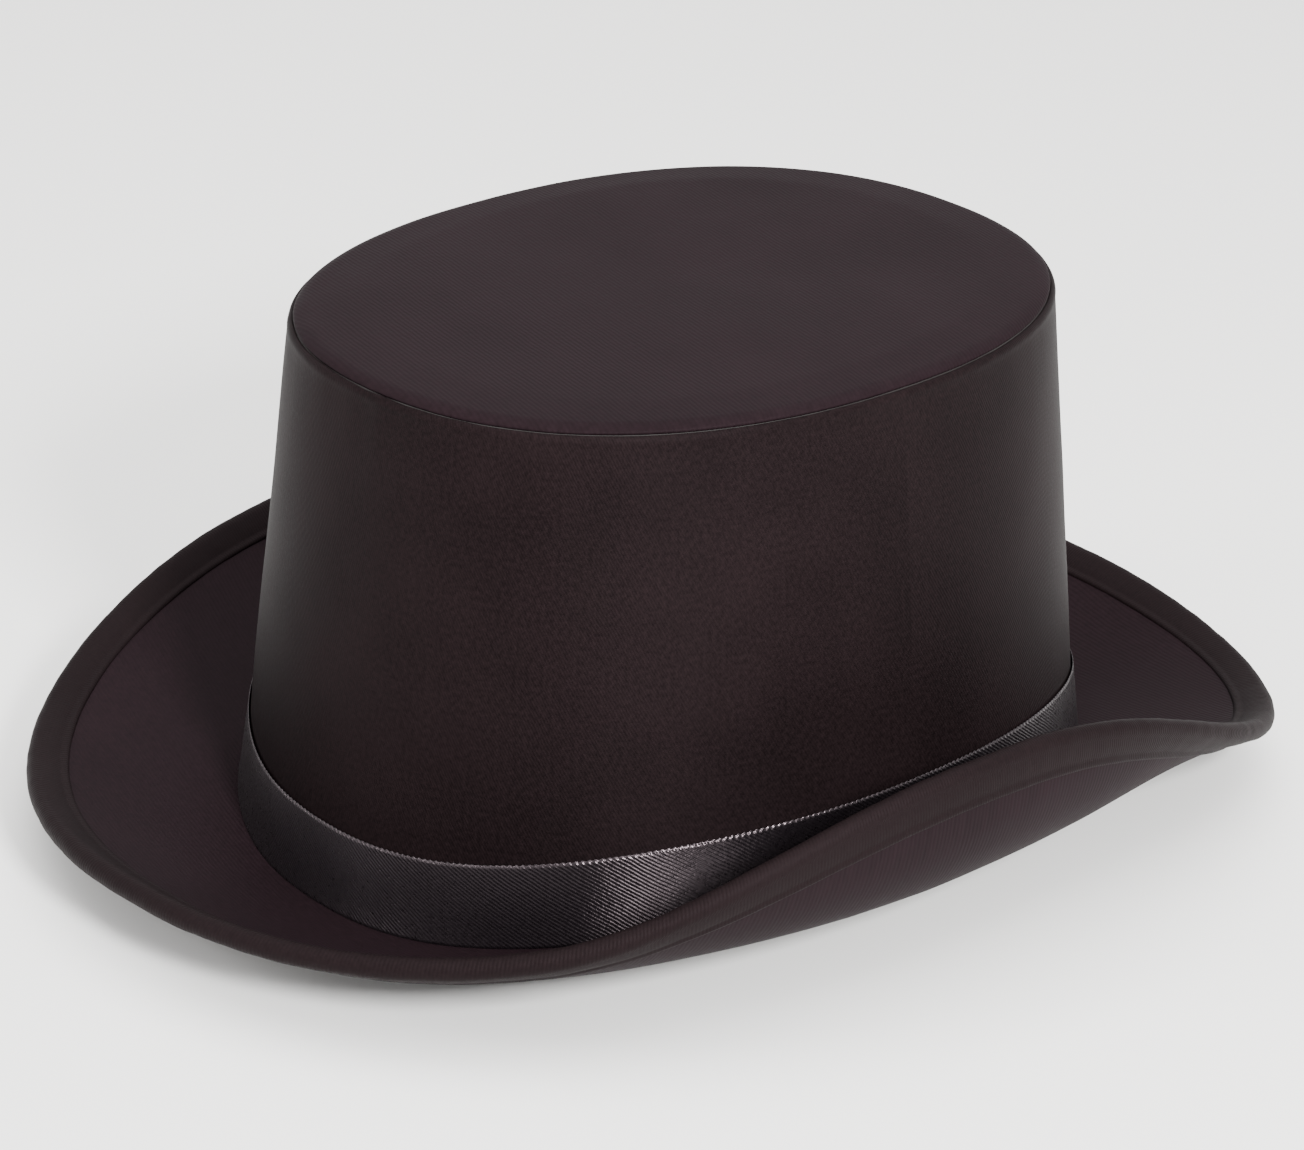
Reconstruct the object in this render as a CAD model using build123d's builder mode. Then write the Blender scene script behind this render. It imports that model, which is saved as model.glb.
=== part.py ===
"""Satin top hat: stiff boards, satin covers, ribbon band, wired and bound brim, lining and sweatband.

Frame: origin at the centre of the head opening, on the surface that the hat stands on.
+Z is up through the crown, -Y is the front and +X is the wearer's left.
Every ring of the hat is lofted through upright sections that stand square to the crown's oval.
A heading is the direction that such a section faces: 0 along +X, 90 along +Y.
"""

import os
from math import atan2, ceil, cos, floor, hypot, radians, sin, tan

from build123d import *

# Crown, over its satin cover
crown_half_length = 106.0  # front to back, where the crown meets the brim
crown_half_width = 87.5  # side to side, where the crown meets the brim
oval_fullness = 2.2  # exponent of the oval: 2 is an ellipse, more is squarer
crown_taper = 12.2  # how far the side wall leans in by the top
crown_height = 130.0  # from the standing surface to the flat top
tip_edge_radius = 5.0
tip_skirt = 6.0  # how far the tip pieces turn down over the wall

# Brim: eight stations round the oval, from the wearer's left side, 45 degrees apart, towards the back
rim_reach = {"left": 27.5, "left_back": 48.5, "back": 43.0, "right_back": 48.0,
             "right": 43.5, "right_front": 50.5, "front": 47.5, "left_front": 36.0}
rim_height = {"left": 56.0, "left_back": 19.0, "back": 19.5, "right_back": 22.5,
              "right": 37.0, "right_front": 18.5, "front": 22.0, "left_front": 28.5}
side_lift = 12.0  # the base line is this much higher at the sides than at the front and back
brim_slope = 12.5  # degrees, where the brim leaves the crown
straight_share = 0.12  # share of the reach that stays straight before the brim curls

# Sheets
satin = 0.4
board = 1.7
lining = 0.5
glue = 0.1  # glue line or looseness between two layers
sweatband_thickness = 0.8
sweatband_width = 34.0

# Band round the crown
band_width = 20.0
ribbon = 0.7
band_lift = 0.5  # the ribbon's lower edge above the brim
join_width = 16.0  # keeper over the ribbon's two ends
join_heading = 135.0

# Rim
wire_diameter = 1.5
joiner_gap = 0.2  # round the crimped tube, inside and outside
joiner_wall = 0.3
joiner_length = 24.0
joiner_heading = 90.0
binding_width = 9.0
binding_thickness = 0.8

# Blank care label on the sweatband
label_width = 26.0
label_height = 15.0
label_thickness = 0.3
label_heading = 90.0
label_lift = 9.0  # the label's lower edge above the base line

# Worked out from the sizes above
brim_stack = satin + glue + board + glue + satin
wall_stack = satin + glue + board
sweatband_inset = wall_stack + glue + lining + glue
opening_inset = sweatband_inset + sweatband_thickness
joiner_radius = wire_diameter / 2 + joiner_gap + joiner_wall
binding_radius = max(brim_stack / 2 + glue, joiner_radius + joiner_gap) + binding_thickness
brim_edge_inset = binding_radius + joiner_radius + glue
standing_gap = brim_stack / cos(radians(brim_slope)) + wall_stack * tan(radians(brim_slope))
section_step = 15  # degrees of heading between two lofted sections
round_sides = 16  # flats that the thin round wire and its tube are drawn with, so that a mesh keeps their volume
ring_overlap = 2 * section_step


def oval_point(heading, outward=0.0):
    """Point of the crown's base oval that faces the heading, moved outward along that heading."""
    dual = oval_fullness / (oval_fullness - 1)
    across = crown_half_width * cos(radians(heading))
    along = crown_half_length * sin(radians(heading))
    support = (abs(across) ** dual + abs(along) ** dual) ** (1 / dual)
    x = crown_half_width * (abs(across) / support) ** (dual - 1) * (1 if across > 0 else -1)
    y = crown_half_length * (abs(along) / support) ** (dual - 1) * (1 if along > 0 else -1)
    return Vector(x + outward * cos(radians(heading)), y + outward * sin(radians(heading)))


def around(stations, heading):
    """Smooth closed curve through the eight station values, read at one heading."""
    values = list(stations.values())
    place = (heading % 360) / 45
    first = floor(place)
    t = place - first
    before, start, end, after = [values[(first + k) % 8] for k in (-1, 0, 1, 2)]
    start_slope = (end - before) / 2
    end_slope = (after - start) / 2
    return (start * (2 * t**3 - 3 * t**2 + 1) + start_slope * (t**3 - 2 * t**2 + t)
            + end * (3 * t**2 - 2 * t**3) + end_slope * (t**3 - t**2))


def base_line(heading):
    """Height at which the crown's wall meets the brim's upper face."""
    return standing_gap + side_lift * cos(radians(heading)) ** 2


def wall_point(heading, z, inset):
    """Point in the crown's wall as (outward, z), the inset measured from the satin's outer face."""
    share = (z - base_line(heading)) / (crown_height - base_line(heading))
    return (-crown_taper * share - inset, z)


def brim_curl(heading):
    """Straight length, its end, and the radius and turn of the arc that ends at the rim."""
    reach = around(rim_reach, heading)
    rise = around(rim_height, heading) - base_line(heading)
    straight = straight_share * reach
    start = (straight * cos(radians(brim_slope)), straight * sin(radians(brim_slope)))
    chord = hypot(reach - start[0], rise - start[1])
    half_turn = atan2(rise - start[1], reach - start[0]) - radians(brim_slope)
    return straight, start, chord / (2 * sin(half_turn)), 2 * half_turn


def brim_length(heading):
    """Length of the brim's upper face from the crown to the rim."""
    straight, start, radius, turn = brim_curl(heading)
    return straight + radius * turn


def brim_point(heading, distance, depth):
    """Point as (outward, z), the distance measured along the brim's upper face, the depth below it."""
    straight, start, radius, turn = brim_curl(heading)
    angle = radians(brim_slope)
    if distance <= straight:
        u = distance * cos(angle)
        z = distance * sin(angle)
    else:
        turned = (distance - straight) / radius
        chord = 2 * radius * sin(turned / 2)
        u = start[0] + chord * cos(angle + turned / 2)
        z = start[1] + chord * sin(angle + turned / 2)
        angle += turned
    return (u + depth * sin(angle), base_line(heading) + z - depth * cos(angle))


def brim_line(heading, start, end, depth):
    """One line of a brim section at a depth: a straight run and then a curled one."""
    straight = straight_share * around(rim_reach, heading)
    middle = (straight + end) / 2
    curl = [brim_point(heading, s, depth) for s in (straight, middle, end)]
    return [[brim_point(heading, start, depth), curl[0]], curl]


def brim_layer(depth, thickness):
    """Section of one flat layer of the brim, from the opening to the wire."""

    def section(heading):
        end = brim_length(heading) - brim_edge_inset
        return brim_line(heading, -wall_stack, end, depth), brim_line(heading, -wall_stack, end, depth + thickness)

    return section


def wall_layer(inset, thickness, foot, head):
    """Section of one upright layer, its ends given as heights for a heading."""

    def section(heading):
        heights = (foot(heading), head(heading))
        outer = [wall_point(heading, z, inset) for z in heights]
        inner = [wall_point(heading, z, inset + thickness) for z in heights]
        return [outer], [inner]

    return section


def binding_line(heading, radius):
    """One face of the folded binding: along the top, round the rim and back underneath."""
    rim = brim_length(heading) - binding_radius
    middle = brim_stack / 2
    leg = binding_width - binding_radius
    top = [brim_point(heading, rim - s, middle - radius) for s in (leg, leg / 2, 0)]
    bottom = [brim_point(heading, rim - s, middle + radius) for s in (0, leg / 2, leg)]
    return [top, [top[-1], brim_point(heading, rim + radius, middle), bottom[0]], bottom]


def binding_section(heading):
    """The folded strip between its outer and inner face."""
    return binding_line(heading, binding_radius), binding_line(heading, binding_radius - binding_thickness)


def section_plane(heading):
    """Upright plane square to the oval: its X points outward and its Y up."""
    facing = Vector(cos(radians(heading)), sin(radians(heading)), 0)
    return Plane(origin=oval_point(heading), x_dir=facing, z_dir=facing.cross(Vector(0, 0, 1)))


def draw_lines(lines):
    """Draw a chain of lines: two points make a straight one, three an arc."""
    for points in lines:
        if len(points) == 2:
            Line(*points)
        else:
            ThreePointArc(*points)


def between_lines(section):
    """Face between the two chains of lines that a section gives for any heading."""

    def face_at(heading):
        one, two = section(heading)
        with BuildSketch(section_plane(heading)) as face:
            with BuildLine():
                draw_lines(one)
                Line(one[-1][-1], two[-1][-1])
                draw_lines(two)
                Line(one[0][0], two[0][0])
            make_face()
        return face.sketch

    return face_at


def rim_disc(radius):
    """Round face about the wire's place inside the binding, for any heading."""

    def face_at(heading):
        place = brim_point(heading, brim_length(heading) - binding_radius, brim_stack / 2)
        with BuildSketch(section_plane(heading)) as face:
            with Locations(place):
                RegularPolygon(radius, round_sides)
        return face.sketch

    return face_at


def faces_between(face_at, start, end):
    """Faces at even headings from one heading to the other, both included."""
    count = max(2, ceil((end - start) / section_step))
    return [face_at(start + (end - start) * k / count) for k in range(count + 1)]


def half_rings(face_at):
    """The two halves of a closed ring, each lofted past the sides and cut there, so that they join smoothly."""
    halves = []
    for start, kept in ((0, Keep.BOTTOM), (180, Keep.TOP)):
        with BuildPart() as half:
            loft(faces_between(face_at, start - ring_overlap, start + 180 + ring_overlap))
            split(bisect_by=Plane.XZ, keep=kept)
        halves.append(half.part)
    return halves


def tip_oval(z, inset):
    """Oval face of the crown at a height near the top, inset from the satin's outer face."""
    lean = crown_taper * z / crown_height
    points = [oval_point(heading, -lean - inset) for heading in range(0, 360, section_step)]
    with BuildSketch(Plane.XY.offset(z)) as oval:
        with BuildLine():
            Spline(*points, periodic=True)
        make_face()
    return oval.sketch


def tip_block(inset, foot):
    """Solid block up to the crown's top, less the inset, with its rounded edge."""
    top = crown_height - inset
    with BuildPart() as block:
        loft([tip_oval(foot, inset), tip_oval(top, inset)])
        fillet(block.faces().sort_by(Axis.Z)[-1].edges(), tip_edge_radius - inset)
    return block.part


def arc_degrees(length, heading, outward=0.0):
    """Turn of heading that covers a length along the oval."""
    step = 8.0
    chord = oval_point(heading + step, outward) - oval_point(heading - step, outward)
    return length * 2 * step / chord.length


def above_base(height):
    """An edge that runs a set height above the base line."""
    return lambda heading: base_line(heading) + height


# Stiff inner body ------------------------------------------------------------------------------
tip_foot = crown_height - tip_skirt
board_inset = satin + glue
lining_inset = wall_stack + glue
wall_foot = above_base(glue)

side_board_halves = half_rings(between_lines(wall_layer(board_inset, board, wall_foot, lambda h: tip_foot - glue)))
with BuildPart() as crown_side_board:
    add(side_board_halves)

tip_board_block = tip_block(board_inset, tip_foot)
tip_board_hollow = tip_block(board_inset + board, tip_foot)
with BuildPart() as crown_tip_board:
    add(tip_board_block)
    add(tip_board_hollow, mode=Mode.SUBTRACT)

brim_board_halves = half_rings(between_lines(brim_layer(satin + glue, board)))
with BuildPart() as brim_board:
    add(brim_board_halves)

# Satin covers ----------------------------------------------------------------------------------
side_cover_halves = half_rings(between_lines(wall_layer(0, satin, wall_foot, lambda h: tip_foot - glue)))
with BuildPart() as crown_side_cover:
    add(side_cover_halves)

tip_cover_block = tip_block(0, tip_foot)
tip_cover_hollow = tip_block(satin, tip_foot)
with BuildPart() as crown_tip_cover:
    add(tip_cover_block)
    add(tip_cover_hollow, mode=Mode.SUBTRACT)

top_cover_halves = half_rings(between_lines(brim_layer(0, satin)))
with BuildPart() as brim_top_cover:
    add(top_cover_halves)

under_cover_halves = half_rings(between_lines(brim_layer(brim_stack - satin, satin)))
with BuildPart() as brim_under_cover:
    add(under_cover_halves)

# Ribbon band and the keeper over its ends ------------------------------------------------------
band_foot = above_base(band_lift)
band_head = above_base(band_lift + band_width)
band_halves = half_rings(between_lines(wall_layer(-glue - ribbon, ribbon, band_foot, band_head)))
with BuildPart() as hat_band:
    add(band_halves)

join_face = between_lines(wall_layer(-2 * (glue + ribbon), ribbon, band_foot, band_head))
join_half_turn = arc_degrees(join_width, join_heading) / 2
with BuildPart() as hat_band_join:
    loft(faces_between(join_face, join_heading - join_half_turn, join_heading + join_half_turn))

# Rim wire, its joining tube and the folded binding ---------------------------------------------
wire_halves = half_rings(rim_disc(wire_diameter / 2))
with BuildPart() as brim_wire:
    add(wire_halves)

joiner_turn = arc_degrees(joiner_length, joiner_heading, rim_reach["back"])
joiner_ends = (joiner_heading - joiner_turn / 2, joiner_heading + joiner_turn / 2)
with BuildPart() as brim_wire_joiner:
    loft(faces_between(rim_disc(joiner_radius), *joiner_ends))
    loft(faces_between(rim_disc(joiner_radius - joiner_wall), *joiner_ends), mode=Mode.SUBTRACT)

binding_halves = half_rings(between_lines(binding_section))
with BuildPart() as brim_binding:
    add(binding_halves)

# Inside ----------------------------------------------------------------------------------------
side_lining_halves = half_rings(between_lines(wall_layer(lining_inset, lining, wall_foot, lambda h: tip_foot - glue)))
with BuildPart() as crown_side_lining:
    add(side_lining_halves)

lining_edge = lining_inset + tip_edge_radius
with BuildPart() as crown_tip_lining:
    extrude(tip_oval(crown_height - lining_inset, lining_edge), amount=-lining)

sweatband_section = wall_layer(sweatband_inset, sweatband_thickness, wall_foot, above_base(sweatband_width))
sweatband_halves = half_rings(between_lines(sweatband_section))
with BuildPart() as sweatband:
    add(sweatband_halves)

label_section = wall_layer(opening_inset + glue, label_thickness, above_base(label_lift),
                           above_base(label_lift + label_height))
label_half_turn = arc_degrees(label_width, label_heading) / 2
with BuildPart() as care_label:
    loft(faces_between(between_lines(label_section), label_heading - label_half_turn,
                       label_heading + label_half_turn))

pieces = {
    "crown_side_board": crown_side_board,
    "crown_tip_board": crown_tip_board,
    "crown_side_cover": crown_side_cover,
    "crown_tip_cover": crown_tip_cover,
    "crown_side_lining": crown_side_lining,
    "crown_tip_lining": crown_tip_lining,
    "brim_board": brim_board,
    "brim_top_cover": brim_top_cover,
    "brim_under_cover": brim_under_cover,
    "brim_wire": brim_wire,
    "brim_wire_joiner": brim_wire_joiner,
    "brim_binding": brim_binding,
    "hat_band": hat_band,
    "hat_band_join": hat_band_join,
    "sweatband": sweatband,
    "care_label": care_label,
}

os.makedirs("parts", exist_ok=True)
for name, piece in pieces.items():
    piece.part.label = name
    export_step(piece.part, f"parts/{name}.step")
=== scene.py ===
"""Satin top hat: cloth, ribbon, binding, stitches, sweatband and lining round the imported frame."""

import math

import bpy
import numpy as np
from bpy.props import (
    FloatProperty,
    FloatVectorProperty,
    IntProperty,
    PointerProperty,
    StringProperty,
)
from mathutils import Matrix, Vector, noise


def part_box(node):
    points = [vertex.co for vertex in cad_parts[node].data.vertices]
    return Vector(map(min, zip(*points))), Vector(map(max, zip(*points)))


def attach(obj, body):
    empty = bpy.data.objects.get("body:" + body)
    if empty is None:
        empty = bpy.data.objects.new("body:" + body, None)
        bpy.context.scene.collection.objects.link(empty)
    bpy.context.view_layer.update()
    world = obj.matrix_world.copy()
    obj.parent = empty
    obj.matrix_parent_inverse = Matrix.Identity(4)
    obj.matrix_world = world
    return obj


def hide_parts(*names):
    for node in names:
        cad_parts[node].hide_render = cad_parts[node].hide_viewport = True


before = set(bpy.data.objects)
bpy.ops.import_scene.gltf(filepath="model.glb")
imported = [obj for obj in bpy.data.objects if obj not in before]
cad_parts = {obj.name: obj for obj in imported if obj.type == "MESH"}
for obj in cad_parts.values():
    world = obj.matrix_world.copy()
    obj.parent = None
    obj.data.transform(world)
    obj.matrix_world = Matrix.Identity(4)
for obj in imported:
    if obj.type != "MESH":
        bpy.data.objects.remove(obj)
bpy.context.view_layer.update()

bl_info = {
    "name": "Top hat",
    "version": (1, 0, 0),
    "blender": (4, 5, 0),
    "location": "View3D > Sidebar > Top hat",
    "description": "Satin top hat with a ribbon band, a bound brim, a sweatband and a lining",
    "category": "Object",
}

BODY = "root"
MM = 0.001
FULL_TURN = 2 * math.pi

# What the frame gives: the crown's oval at its foot, its lean, its height and the standing gap under the brim
_side_low, _side_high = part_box("crown_side_cover")
_tip_low, _tip_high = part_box("crown_tip_cover")
CROWN_WIDTH = _side_high.x
CROWN_LENGTH = _side_high.y
CROWN_HEIGHT = _tip_high.z
TIP_FOOT = _tip_low.z
CROWN_TAPER = (CROWN_LENGTH - _tip_high.y) * CROWN_HEIGHT / TIP_FOOT
STANDING_GAP = _side_low.z - 0.1 * MM

SEAM_HEADING = math.radians(-36)  # where the seam round the tip stands out most
PUCKER_HEADING = math.radians(-100)  # where the cloth round the crown's edge puckers most
BRIM_SATIN_IN = 2.2 * MM  # how far the brim's satin runs in under the crown's wall
BRIM_SATIN_SHORT = 3.6 * MM  # how far it stops short of the rim, under the binding
RIM_ROUND = 900 * MM  # about the length round the rim, which sets how many stitches go round it
OPENING_ROUND = 610 * MM  # the same for the opening
TABLE_DROP = 0.3 * MM  # room under the hat for the soft binding, which sags a little


def length(name, default, description):
    """Length property, in metres."""
    return FloatProperty(name=name, default=default, description=description, unit="LENGTH")


def cloth_colour(name, default, description):
    """Colour property, as sRGB hex."""
    return StringProperty(name=name, default=default, description=description)


class HatSizes(bpy.types.PropertyGroup):
    """Sizes of the hat that a maker would change"""

    rim_reach: FloatVectorProperty(
        name="Rim reach", size=8, unit="LENGTH",
        description="Width of the brim in plan, from the wearer's left towards the back, 45 degrees apart",
        default=(0.0275, 0.0485, 0.043, 0.048, 0.0435, 0.0505, 0.0475, 0.036))
    rim_height: FloatVectorProperty(
        name="Rim height", size=8, unit="LENGTH",
        description="Height of the rim above the table at the same eight stations",
        default=(0.056, 0.019, 0.0195, 0.0225, 0.037, 0.0185, 0.022, 0.0285))
    side_lift: length(
        "Side lift", 0.012, "How much higher the crown meets the brim at the sides than at front and back")
    brim_slope: FloatProperty(
        name="Brim slope", unit="ROTATION", subtype="ANGLE", default=math.radians(12.5),
        description="Slope of the brim where it leaves the crown")
    straight_share: FloatProperty(
        name="Straight share", default=0.12, subtype="FACTOR", min=0.05, max=0.9,
        description="Share of the reach that stays straight before the brim curls")
    oval_fullness: FloatProperty(
        name="Oval fullness", default=2.2, min=1.8, max=3.0,
        description="Exponent of the crown's oval: 2 is an ellipse, more is squarer")
    tip_radius: length("Tip edge radius", 0.005, "Radius of the crown's upper edge")
    satin: length("Satin thickness", 0.0004, "Thickness of the satin covers")
    brim_stack: length("Brim thickness", 0.0027, "Thickness of the brim with both covers")
    wall_stack: length("Wall thickness", 0.0022, "Thickness of the crown's wall with its cover")
    band_width: length("Ribbon width", 0.020, "Height of the ribbon round the crown")
    band_lift: length("Ribbon lift", 0.0005, "Ribbon's lower edge above the brim")
    band_stand: length("Ribbon stand", 0.0008, "Ribbon's outer face off the crown's satin")
    binding_width: length("Binding width", 0.009, "Width of the folded strip on each face")
    binding_proud: length("Binding proud", 0.0009, "How far the folded strip stands off the brim")
    sweatband_width: length("Sweatband width", 0.034, "Height of the sweatband")
    stitch_pitch: length("Stitch pitch", 0.0032, "Distance from one stitch to the next")
    around_count: IntProperty(
        name="Columns", default=900, min=90, max=3000, description="Mesh columns round the hat")


class HatColours(bpy.types.PropertyGroup):
    """Cloth and thread colours, as sRGB hex"""

    satin: cloth_colour("Satin", "#120C0D", "Satin of the crown and binding")
    # Painted light: the flat satin is the crown's satin given a lighter colour, so the tip and brim faces
    # read lighter
    flat_satin: cloth_colour("Flat satin", "#160E11", "Satin of the tip and brim faces")
    ribbon: cloth_colour("Ribbon", "#080608", "Ribbon of the band")
    lining: cloth_colour("Lining", "#1D191B", "Lining inside the crown")
    sweatband: cloth_colour("Sweatband", "#211D1D", "Woven band inside the opening")
    thread: cloth_colour("Thread", "#1C1517", "Sewing thread")
    label: cloth_colour("Label", "#D8D5CC", "Blank woven label")
    board: cloth_colour("Board", "#2A2827", "Stiff foam board")
    steel: cloth_colour("Steel", "#A9A9AC", "Wire and its joiner")
    table: cloth_colour("Table", "#F2F1EF", "Table top")


def sizes():
    return bpy.context.scene.hat_sizes


def colours():
    return bpy.context.scene.hat_colours


# Geometry of the hat ---------------------------------------------------------------------------


def oval(heading, outward=0.0):
    """Points of the crown's base oval that face the headings, moved outward along them."""
    dual = sizes().oval_fullness / (sizes().oval_fullness - 1)
    across = CROWN_WIDTH * np.cos(heading)
    along = CROWN_LENGTH * np.sin(heading)
    support = (np.abs(across) ** dual + np.abs(along) ** dual) ** (1 / dual)
    x = CROWN_WIDTH * (np.abs(across) / support) ** (dual - 1) * np.sign(across)
    y = CROWN_LENGTH * (np.abs(along) / support) ** (dual - 1) * np.sign(along)
    return x + outward * np.cos(heading), y + outward * np.sin(heading)


def even_headings(count, start=0.0, end=360.0, closed=True):
    """Headings that are evenly spaced along the oval, and the distance of each along it."""
    fine = np.radians(np.linspace(start, end, 7201))
    x, y = oval(fine)
    along = np.concatenate([[0], np.cumsum(np.hypot(np.diff(x), np.diff(y)))])
    stops = np.linspace(0, along[-1], count + 1)
    headings = np.interp(stops, along, fine)
    return (headings[:-1], stops) if closed else (headings, stops)


def around(stations, heading):
    """Smooth closed curve through the eight station values, read at the headings."""
    values = np.array(stations)
    place = (np.degrees(heading) % 360) / 45
    first = np.floor(place).astype(int)
    t = place - first
    before, start, end, after = [values[(first + k) % 8] for k in (-1, 0, 1, 2)]
    start_slope = (end - before) / 2
    end_slope = (after - start) / 2
    return (start * (2 * t**3 - 3 * t**2 + 1) + start_slope * (t**3 - 2 * t**2 + t)
            + end * (3 * t**2 - 2 * t**3) + end_slope * (t**3 - t**2))


def base_line(heading):
    """Height at which the crown's wall meets the brim's upper face."""
    return STANDING_GAP + sizes().side_lift * np.cos(heading) ** 2


def wall_outward(heading, z):
    """How far outward of the base oval the crown's wall is at a height."""
    share = (z - base_line(heading)) / (CROWN_HEIGHT - base_line(heading))
    return -CROWN_TAPER * share


def brim_curl(heading):
    """Straight length, its end, and the radius and turn of the arc that ends at the rim."""
    slope = sizes().brim_slope
    reach = around(sizes().rim_reach, heading)
    rise = around(sizes().rim_height, heading) - base_line(heading)
    straight = sizes().straight_share * reach
    start = (straight * math.cos(slope), straight * math.sin(slope))
    chord = np.hypot(reach - start[0], rise - start[1])
    half_turn = np.arctan2(rise - start[1], reach - start[0]) - slope
    return straight, start, chord / (2 * np.sin(half_turn)), 2 * half_turn


def brim_length(heading):
    """Length of the brim's upper face from the crown to the rim."""
    straight, _, radius, turn = brim_curl(heading)
    return straight + radius * turn


def brim_place(heading, distance, depth):
    """Outward and z of points at a distance along the brim's upper face and a depth below it."""
    slope = sizes().brim_slope
    straight, start, radius, _ = brim_curl(heading)
    turned = np.maximum(distance - straight, 0) / radius
    chord = 2 * radius * np.sin(turned / 2)
    flat = np.minimum(distance, straight)
    u = flat * math.cos(slope) + chord * np.cos(slope + turned / 2)
    z = flat * math.sin(slope) + chord * np.sin(slope + turned / 2)
    angle = slope + turned
    return u + depth * np.sin(angle), base_line(heading) + z - depth * np.cos(angle)


def place(heading, outward, z):
    """Grid of points from headings, outward distances and heights."""
    x, y = oval(heading, outward)
    return np.stack([x, y, np.broadcast_to(z, x.shape)], axis=-1)


def ripple(points, scale, seed):
    """Smooth noise from -1 to 1 at each point; scale is the size of its waves."""
    flat = points.reshape(-1, 3) / scale + seed * 17.3
    values = [noise.noise(Vector(p)) for p in flat]
    return np.array(values).reshape(points.shape[:-1])


def waves(points, size, seed, height):
    """Ripple to move each point of a grid by: the size and height of its waves in millimetres."""
    return ripple(points, size * MM, seed)[..., None] * height * MM


def grid_normals(points, wrap):
    """Unit normals of a grid of points, rows by columns."""
    along = np.gradient(points, axis=1)
    if wrap:
        along = np.roll(points, -1, axis=1) - np.roll(points, 1, axis=1)
    across = np.gradient(points, axis=0)
    normal = np.cross(along, across)
    return normal / np.maximum(np.linalg.norm(normal, axis=-1, keepdims=True), 1e-12)


def add_mesh(name, verts, faces, uvs, material, thickness=0.0):
    """Mesh object with a cloth map in metres, its thickness added inward."""
    mesh = bpy.data.meshes.new(name)
    mesh.from_pydata(verts, [], faces)
    layer = mesh.uv_layers.new(name="cloth")
    layer.data.foreach_set("uv", np.array(uvs, np.float32).ravel())
    mesh.polygons.foreach_set("use_smooth", [True] * len(mesh.polygons))
    mesh.materials.append(material)
    mesh.validate()
    mesh.update()
    piece = bpy.data.objects.new(name, mesh)
    bpy.context.scene.collection.objects.link(piece)
    if thickness:
        solid = piece.modifiers.new("thickness", "SOLIDIFY")
        solid.thickness = thickness
        solid.offset = -1.0
        solid.use_even_offset = False
        solid.use_rim = True
    return piece


def cloth_grid(name, points, along, across, material, wrap=True, thickness=0.0, pole=None):
    """Sheet from a grid of points, rows by columns, with its cloth map; a pole closes the last row."""
    rows, columns = points.shape[:2]
    verts = [tuple(p) for p in points.reshape(-1, 3)]
    faces = []
    uvs = []
    across = np.broadcast_to(across, (rows, columns)) if np.ndim(across) == 2 else np.repeat(
        np.array(across)[:, None], columns, axis=1)
    last = columns if wrap else columns - 1
    for i in range(rows - 1):
        for j in range(last):
            k = (j + 1) % columns
            faces.append((i * columns + j, i * columns + k, (i + 1) * columns + k, (i + 1) * columns + j))
            uvs += [(along[j], across[i, j]), (along[j + 1], across[i, k]),
                    (along[j + 1], across[i + 1, k]), (along[j], across[i + 1, j])]
    if pole is not None:
        verts.append(tuple(pole))
        for j in range(last):
            k = (j + 1) % columns
            faces.append(((rows - 1) * columns + j, (rows - 1) * columns + k, len(verts) - 1))
            uvs += [(along[j], across[-1, j]), (along[j + 1], across[-1, k]), (along[j], across[-1, j])]
    return add_mesh(name, verts, faces, uvs, material, thickness)


def flat_cut(name, points, material, thickness, pole=None):
    """Closed sheet that was cut flat: its cloth map is its plan view."""
    piece = cloth_grid(name, points, np.zeros(points.shape[1] + 1), np.zeros(len(points)), material,
                       thickness=thickness, pole=pole)
    mesh = piece.data
    loops = np.zeros(len(mesh.loops), np.int32)
    mesh.loops.foreach_get("vertex_index", loops)
    places = np.zeros(len(mesh.vertices) * 3, np.float32)
    mesh.vertices.foreach_get("co", places)
    mesh.uv_layers["cloth"].data.foreach_set("uv", places.reshape(-1, 3)[loops][:, :2].ravel())
    return piece


def finish_piece(piece, slot_name, *nodes):
    """Ride on the hat's one body and stand for the CAD nodes."""
    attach(piece, BODY)
    if nodes:
        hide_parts(*nodes)
    return piece


def stitch_row(name, ends, normals, radius, material):
    """Row of separate stitches, each a thread that rises between its two holes."""
    sides = 6
    steps = (0.0, 0.12, 0.35, 0.65, 0.88, 1.0)
    verts, faces, uvs = [], [], []
    for (start, end), normal in zip(ends, normals):
        run = end - start
        side = np.cross(run, normal)
        side /= np.linalg.norm(side)
        first = len(verts)
        for t in steps:
            rise = math.sin(math.pi * t)
            thick = radius * (0.35 + 0.65 * rise ** 0.5)
            middle = start + run * t + normal * radius * (1.1 * rise - 0.35)
            for k in range(sides):
                turn = FULL_TURN * k / sides
                verts.append(tuple(middle + thick * (side * math.cos(turn) + normal * math.sin(turn))))
        length = float(np.linalg.norm(run))
        for i in range(len(steps) - 1):
            for k in range(sides):
                m = (k + 1) % sides
                faces.append((first + i * sides + k, first + i * sides + m,
                              first + (i + 1) * sides + m, first + (i + 1) * sides + k))
                low, high = steps[i] * length, steps[i + 1] * length
                a, b = k * radius, (k + 1) * radius
                uvs += [(low, a), (low, b), (high, b), (high, a)]
        for ring_start, order in ((first, -1), (first + (len(steps) - 1) * sides, 1)):
            cap = [ring_start + k for k in range(sides)][::order]
            faces.append(tuple(cap))
            uvs += [(0.0, 0.0)] * sides
    return add_mesh(name, verts, faces, uvs, material)


# Materials -------------------------------------------------------------------------------------


def linear(hex_colour):
    """sRGB hex to linear RGBA."""
    parts = [int(hex_colour[i:i + 2], 16) / 255 for i in (1, 3, 5)]
    return tuple(c / 12.92 if c <= 0.04045 else ((c + 0.055) / 1.055) ** 2.4 for c in parts) + (1.0,)


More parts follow.
